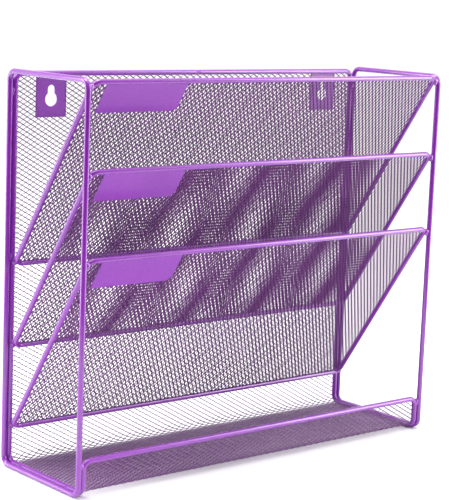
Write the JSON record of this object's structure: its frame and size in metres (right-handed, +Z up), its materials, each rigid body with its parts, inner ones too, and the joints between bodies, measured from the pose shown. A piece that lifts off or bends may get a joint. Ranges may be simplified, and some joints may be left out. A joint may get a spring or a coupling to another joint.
{
  "type": "hanging file rack",
  "caption": "Wall-hung or desk-standing file rack of welded wire and expanded steel mesh, with sloping folder pockets over an open tray.",
  "frame": {"origin": "middle of the footprint, on the surface that the rack stands on", "axes": "+X along the rack's width to its right as seen from the front, +Y from the front to the wall, +Z up"},
  "size_m": [0.33, 0.096, 0.28],
  "materials": {
    "wire_enamel": "gloss",
    "mesh_enamel": "gloss",
    "plate_enamel": "satin"
  },
  "bodies": {
    "root": {"side_frame_left": "wire_enamel", "side_frame_right": "wire_enamel", "basket_rim_wire": "wire_enamel", "back_mesh": "mesh_enamel", "floor_mesh": "mesh_enamel", "lip_mesh": "mesh_enamel", "top_pocket_frame": "wire_enamel", "top_pocket_mesh": "mesh_enamel", "top_label_plate": "plate_enamel", "middle_pocket_frame": "wire_enamel", "middle_pocket_mesh": "mesh_enamel", "middle_label_plate": "plate_enamel", "bottom_pocket_frame": "wire_enamel", "bottom_pocket_mesh": "mesh_enamel", "bottom_label_plate": "plate_enamel", "keyhole_plate_left": "plate_enamel", "keyhole_plate_right": "plate_enamel", "rim_weld_beads": "wire_enamel", "pocket_front_weld_beads": "wire_enamel", "pocket_back_weld_beads": "wire_enamel"}
  },
  "joints": []
}
